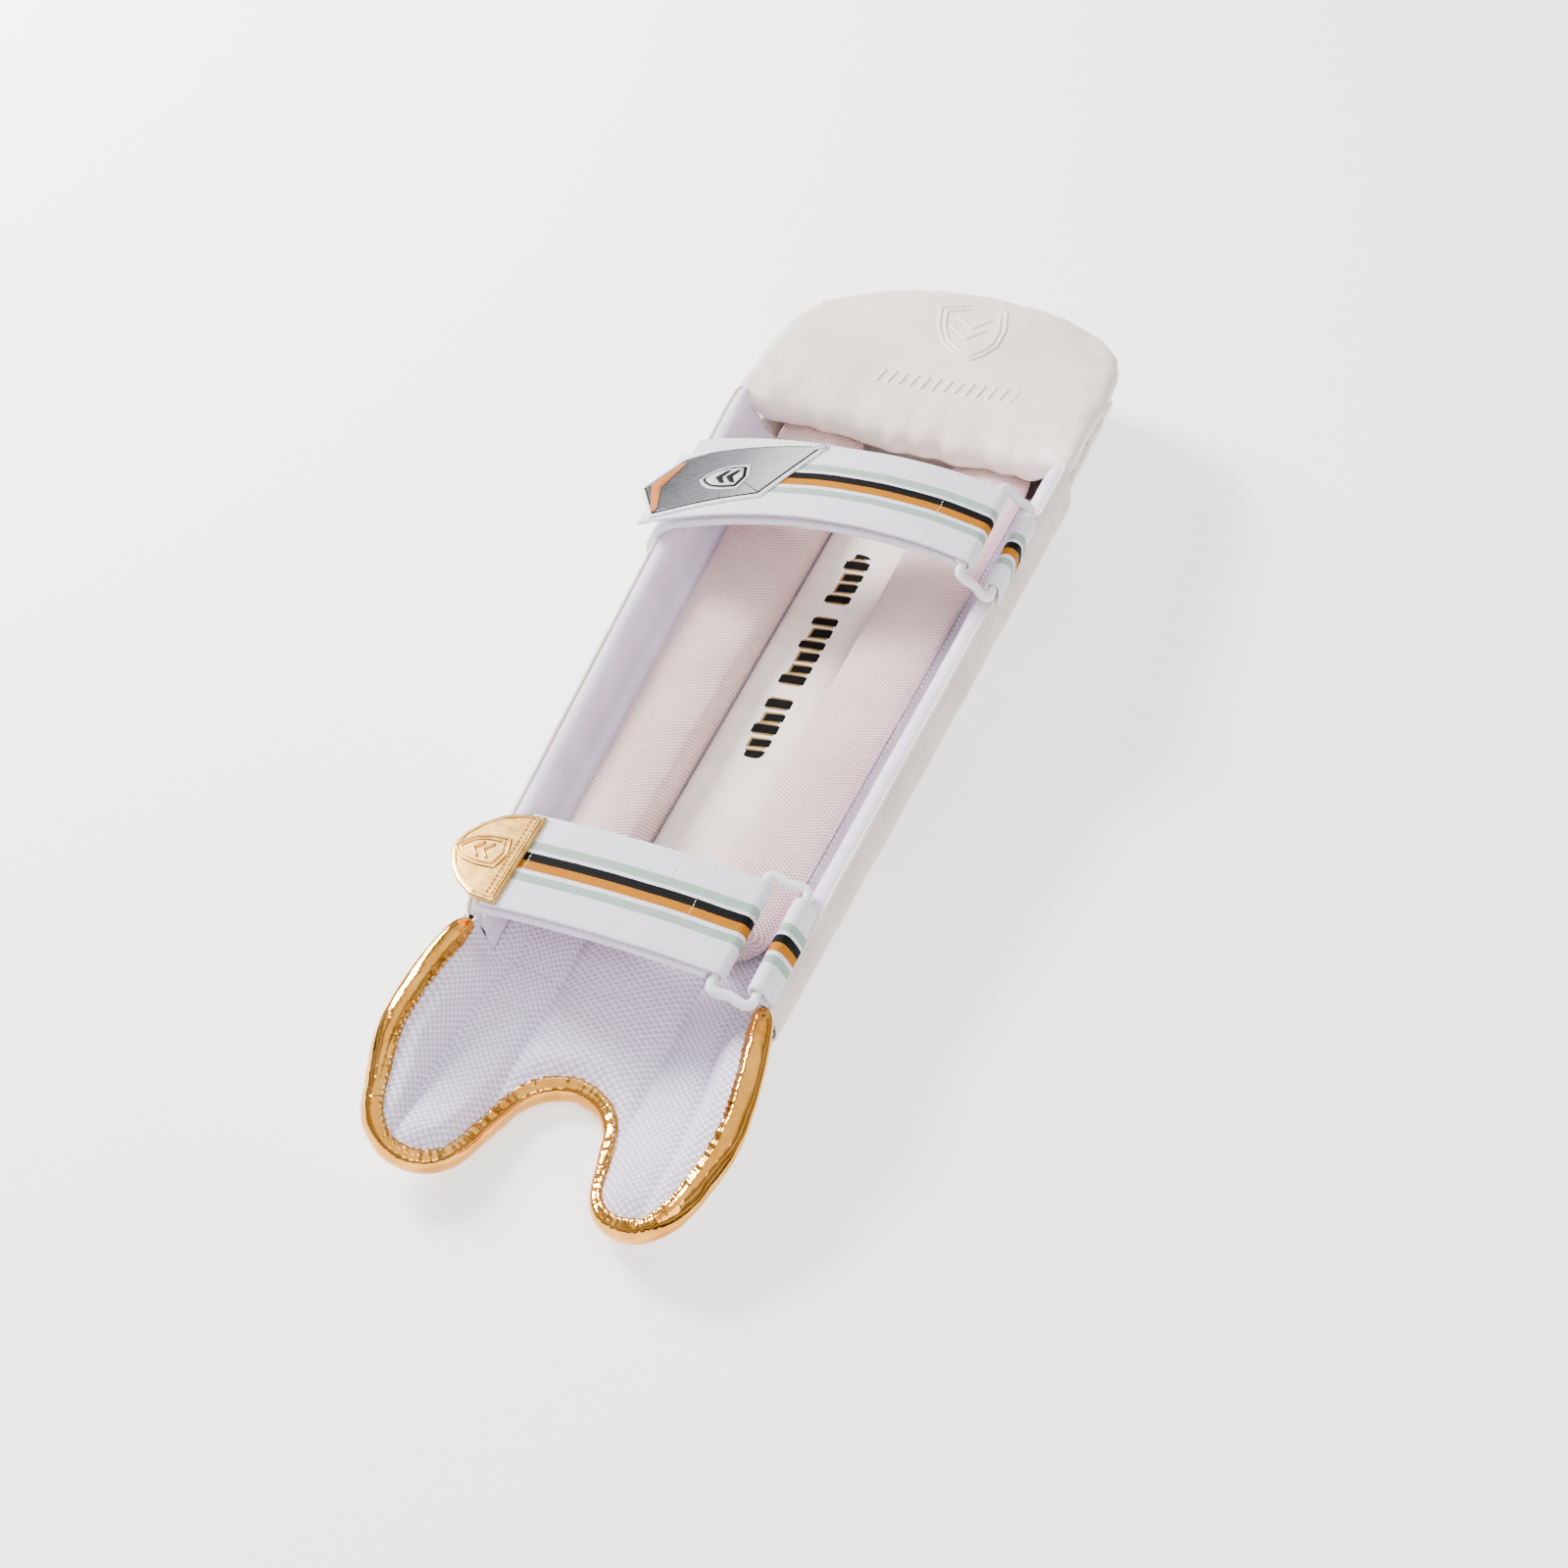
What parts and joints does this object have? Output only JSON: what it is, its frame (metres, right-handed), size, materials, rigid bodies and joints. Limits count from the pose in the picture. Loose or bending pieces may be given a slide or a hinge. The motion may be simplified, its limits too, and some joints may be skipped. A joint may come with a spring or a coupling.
{
  "type": "cricket leg pad",
  "caption": "Wicket-keeper's leg pad: padded shin trough with curled side wings, knee section, notched instep flap and two hook-and-loop straps through plastic rings.",
  "frame": {"origin": "on the flat of the shin facing that the pad lies on, midway between the side wings and halfway along its length", "axes": "+Y along the leg from the instep lobes to the crown of the knee section, +Z out of the facing towards the leg, +X across, towards the wing that carries the rings"},
  "size_m": [0.2123, 0.66, 0.0987],
  "materials": {
    "outer_leather": "soft-grained white polyurethane leather",
    "cushion_leather": "soft cream polyurethane leather, slightly wrinkled",
    "cane": "split cane, unvarnished",
    "foam": "pale pink high-density foam and cotton wadding, hidden inside",
    "lining_cloth": "smooth white brushed cloth",
    "spacer_mesh": "fine white spacer mesh over pink foam",
    "air_mesh": "coarse white air mesh",
    "suede": "off-white brushed suede cloth",
    "print_film": "black heat transfer with a gold outline",
    "webbing": "white woven polyester webbing with grey, black and ochre stripes",
    "loop_pile": "white loop pile",
    "hook_tape": "white hook tape",
    "ring_plastic": "white moulded nylon",
    "label_vinyl": "printed vinyl, black to silver hatch with an ochre end",
    "gold_tab": "gold metallised moulding",
    "gold_binding": "gold metallised synthetic leather, gathered"
  },
  "bodies": {
    "shin": {"shin_cover": "outer_leather", "shin_canes": "cane", "cane_wadding": "foam", "shin_foam": "foam", "shin_lining": "lining_cloth", "left_bolster_foam": "foam", "left_bolster_cover": "spacer_mesh", "right_bolster_foam": "foam", "right_bolster_cover": "spacer_mesh", "centre_pad_foam": "foam", "centre_pad_cover": "suede", "centre_print": "print_film", "upper_strap_base": "loop_pile", "upper_strap_pile": "loop_pile", "lower_strap_base": "loop_pile", "lower_strap_pile": "loop_pile"},
    "left_wing": {"left_wing_cover": "outer_leather", "left_wing_foam": "foam", "left_wing_lining": "lining_cloth", "upper_strap_anchor": "webbing", "lower_strap_anchor": "webbing"},
    "right_wing": {"right_wing_cover": "outer_leather", "right_wing_foam": "foam", "right_wing_lining": "lining_cloth", "upper_keeper": "webbing", "lower_keeper": "webbing"},
    "upper_ring": {"upper_ring": "ring_plastic"},
    "lower_ring": {"lower_ring": "ring_plastic"},
    "upper_strap": {"upper_strap_flap": "webbing", "upper_strap_hook": "hook_tape", "upper_strap_label": "label_vinyl"},
    "lower_strap": {"lower_strap_flap": "webbing", "lower_strap_hook": "hook_tape", "lower_strap_tab": "gold_tab"},
    "instep": {"instep_cover": "outer_leather", "instep_foam": "foam", "instep_lining": "air_mesh", "instep_roll_centre": "foam", "instep_roll_left_inner": "foam", "instep_roll_left_outer": "foam", "instep_roll_right_inner": "foam", "instep_roll_right_outer": "foam", "instep_binding": "gold_binding"},
    "knee": {"knee_roll_1": "outer_leather", "knee_roll_2": "outer_leather", "knee_roll_3": "outer_leather", "top_panel": "outer_leather", "knee_cover": "outer_leather", "knee_foam": "foam", "knee_welt": "outer_leather", "knee_cushion_foam": "foam", "knee_cushion_cover": "cushion_leather"}
  },
  "joints": [
    {"name": "left_wing_wrap", "type": "hinge", "parent": "shin", "child": "left_wing", "pos_m": [-0.07194, 0, 0.03471], "axis": [-0.0399, 0.9989, 0.0232], "range_deg": [0, 12], "stiffness_Nm_per_rad": 3, "deforming": ["upper_strap_base", "upper_strap_pile", "lower_strap_base", "lower_strap_pile"]},
    {"name": "right_wing_wrap", "type": "hinge", "parent": "shin", "child": "right_wing", "pos_m": [0.07194, 0, 0.03471], "axis": [0.0399, 0.9989, 0.0232], "range_deg": [-12, 0]},
    {"name": "knee_flex", "type": "hinge", "parent": "shin", "child": "knee", "pos_m": [0, 0.1858, 0.046], "axis": [1, 0, 0], "range_deg": [0, 20], "stiffness_Nm_per_rad": 3},
    {"name": "instep_flex", "type": "hinge", "parent": "shin", "child": "instep", "pos_m": [0, -0.2063, 0], "axis": [1, 0, 0], "range_deg": [0, 12], "stiffness_Nm_per_rad": 3},
    {"name": "upper_ring_pivot", "type": "hinge", "parent": "right_wing", "child": "upper_ring", "pos_m": [0.09027, 0.098, 0.07546], "axis": [0.0399, 0.9989, 0.0232], "range_deg": [0, 12]},
    {"name": "lower_ring_pivot", "type": "hinge", "parent": "right_wing", "child": "lower_ring", "pos_m": [0.07186, -0.181, 0.05884], "axis": [0.0399, 0.9989, 0.0232], "range_deg": [0, 12]},
    {"name": "upper_strap_peel", "type": "hinge", "parent": "upper_ring", "child": "upper_strap", "pos_m": [0.0743, 0.098, 0.0875], "axis": [0, 1, 0], "range_deg": [0, 150]},
    {"name": "lower_strap_peel", "type": "hinge", "parent": "lower_ring", "child": "lower_strap", "pos_m": [0.0523, -0.181, 0.063], "axis": [0, 1, 0], "range_deg": [0, 150]}
  ],
  "couplings": [
    {"joint": "right_wing_wrap", "follows": "left_wing_wrap", "ratio": -1},
    {"joint": "upper_ring_pivot", "follows": "left_wing_wrap", "ratio": 1},
    {"joint": "lower_ring_pivot", "follows": "left_wing_wrap", "ratio": 1}
  ]
}
